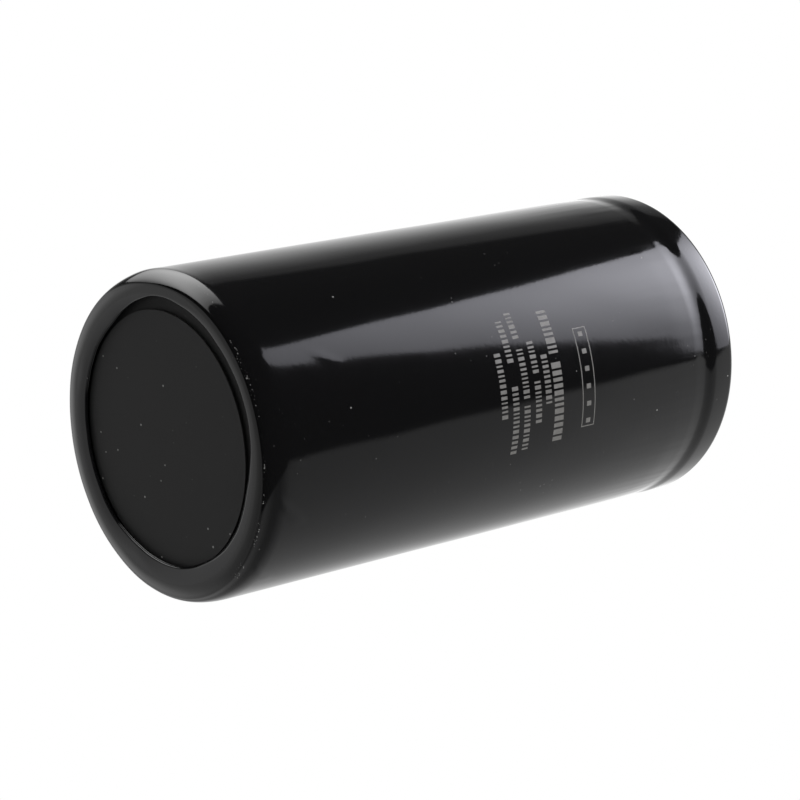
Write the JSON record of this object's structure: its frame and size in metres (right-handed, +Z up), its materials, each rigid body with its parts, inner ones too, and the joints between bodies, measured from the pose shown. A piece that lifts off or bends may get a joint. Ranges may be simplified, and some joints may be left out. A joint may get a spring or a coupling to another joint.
{
  "type": "electrolytic capacitor",
  "caption": "Large screw-terminal electrolytic capacitor: a round aluminium can in a black shrink sleeve, with a moulded deck, tapped terminals, a vent plug and a wound foil roll inside.",
  "frame": {"origin": "centre of the standing ring at the closed end, on the surface that the capacitor stands on", "axes": "+Z up the axis to the terminals, +X towards the positive terminal, -Y towards the side with the rating"},
  "size_m": [0.0768, 0.0768, 0.1514],
  "materials": {
    "sleeve": "glossy black shrunk film",
    "end_disc": "matte dark grey moulded sheet",
    "can": "drawn aluminium, satin",
    "deck": "black moulded, satin",
    "seal": "matte rubber",
    "vent": "matte rubber",
    "terminal": "turned, bright",
    "washer": "stamped",
    "tab": "rolled strip",
    "roll": "foil and impregnated paper",
    "tape": "thin adhesive tape"
  },
  "bodies": {
    "root": {"insulating_sleeve": "sleeve", "base_disc": "end_disc", "can": "can", "deck": "deck", "seal_ring": "seal", "vent_plug": "vent", "positive_terminal": "terminal", "negative_terminal": "terminal", "positive_tab_washer": "washer", "negative_tab_washer": "washer", "anode_tab_1": "tab", "anode_tab_2": "tab", "anode_tab_3": "tab", "anode_tab_4": "tab", "cathode_tab_1": "tab", "cathode_tab_2": "tab", "cathode_tab_3": "tab", "cathode_tab_4": "tab", "winding": "roll", "winding_tape": "tape"}
  },
  "joints": []
}
